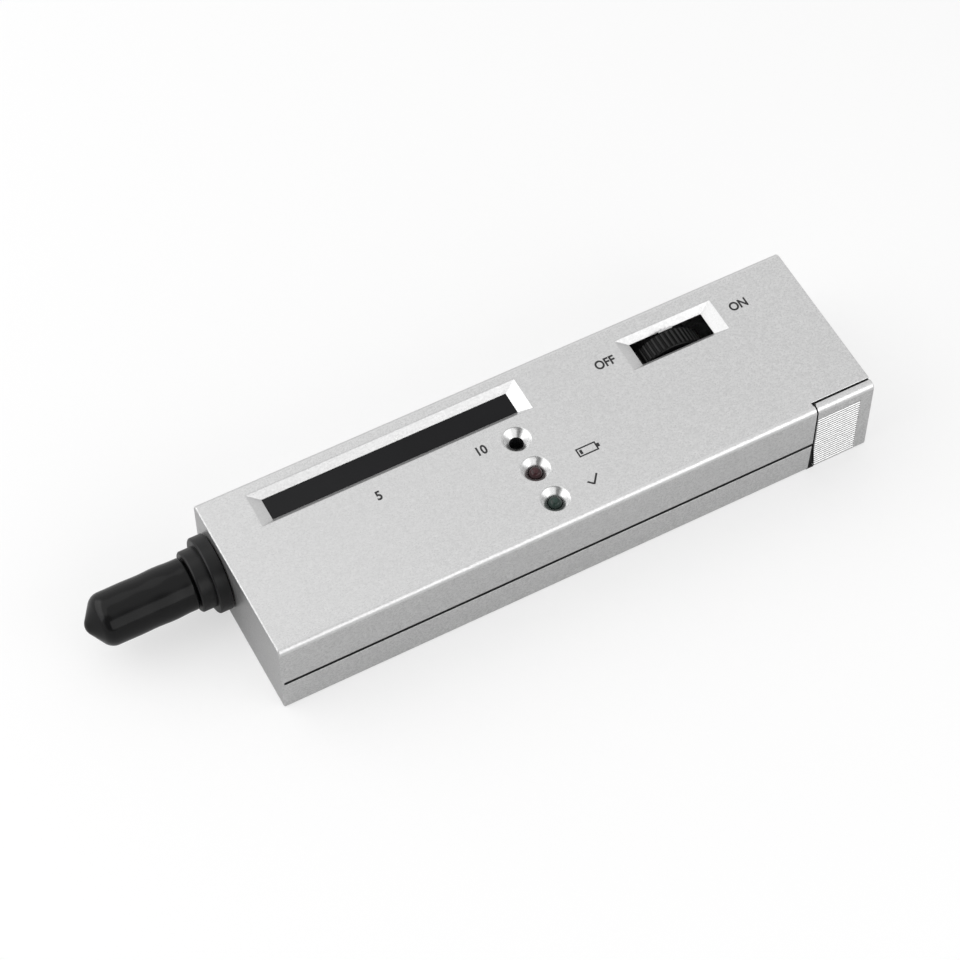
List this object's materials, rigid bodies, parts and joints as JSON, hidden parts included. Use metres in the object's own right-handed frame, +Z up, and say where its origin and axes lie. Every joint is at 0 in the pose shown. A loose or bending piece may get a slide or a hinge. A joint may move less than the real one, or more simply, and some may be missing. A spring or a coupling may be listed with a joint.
{
  "type": "diamond tester pen",
  "caption": "Flat hand-held gem tester with a silver two-shell case, a light bar window, lamps, a thumbwheel, a sliding battery door and a sprung heat probe under a push-on cap.",
  "frame": {"origin": "on the table, under the middle of the box round the whole pen with its cap on", "axes": "+X along the case from the probe to the battery door, +Y across it away from the door, +Z up"},
  "size_m": [0.1676, 0.04, 0.0213],
  "materials": {
    "silver_case": "satin silver paint",
    "smoked_pane": "gloss",
    "black_gloss": "gloss",
    "black_satin": "satin",
    "wheel_black": "satin",
    "green_lamp": "gloss",
    "red_lamp": "gloss",
    "clear_lamp": "gloss",
    "board_green": "satin",
    "chip_black": "matte",
    "capacitor_blue": "gloss",
    "resistor_tan": "satin",
    "trimmer_blue": "satin",
    "steel": "brushed",
    "nickel": "polished",
    "copper": "polished",
    "ceramic_white": "matte",
    "plug_ivory": "satin",
    "battery_blue": "gloss",
    "lead_red": "satin",
    "lead_black": "satin"
  },
  "bodies": {
    "case": {"upper_shell": "silver_case", "lower_shell": "silver_case", "bar_window": "smoked_pane", "light_block": "chip_black", "bar_lights": "clear_lamp", "ready_lamp": "green_lamp", "battery_lamp": "red_lamp", "buzzer": "chip_black", "main_board": "board_green", "board_screws": "steel", "driver_chip": "chip_black", "amplifier_chip": "chip_black", "capacitors": "capacitor_blue", "resistors": "resistor_tan", "trimmer": "trimmer_blue", "control_body": "chip_black", "control_pins": "nickel", "probe_collar": "black_satin", "probe_sleeve": "nickel", "probe_spring": "steel", "probe_plug": "plug_ivory", "probe_leads": "lead_red", "battery": "battery_blue", "battery_terminals": "nickel", "battery_snap": "lead_black", "snap_contacts": "nickel", "red_lead": "lead_red", "black_lead": "lead_black", "case_screws": "steel"},
    "wheel": {"thumbwheel": "wheel_black", "wheel_axle": "nickel", "wheel_screw": "steel"},
    "tip": {"probe_tip": "copper", "probe_heater": "ceramic_white"},
    "cap": {"probe_cap": "black_gloss"},
    "door": {"battery_door": "silver_case"}
  },
  "joints": [
    {"name": "wheel_turn", "type": "hinge", "parent": "case", "child": "wheel", "pos_m": [0.05223, 0.01125, 0.01158], "axis": [0, 1, 0], "range_deg": [0, 290]},
    {"name": "tip_press", "type": "slide", "parent": "case", "child": "tip", "axis": [1, 0, 0], "range_m": [0, 0.0012], "stiffness_N_per_m": 400, "springref_m": -0.0008, "deforming": ["probe_spring"]},
    {"name": "cap_pull", "type": "slide", "parent": "case", "child": "cap", "axis": [-1, 0, 0], "range_m": [0, 0.03]},
    {"name": "door_slide", "type": "slide", "parent": "case", "child": "door", "axis": [1, 0, 0], "range_m": [0, 0.022]}
  ]
}
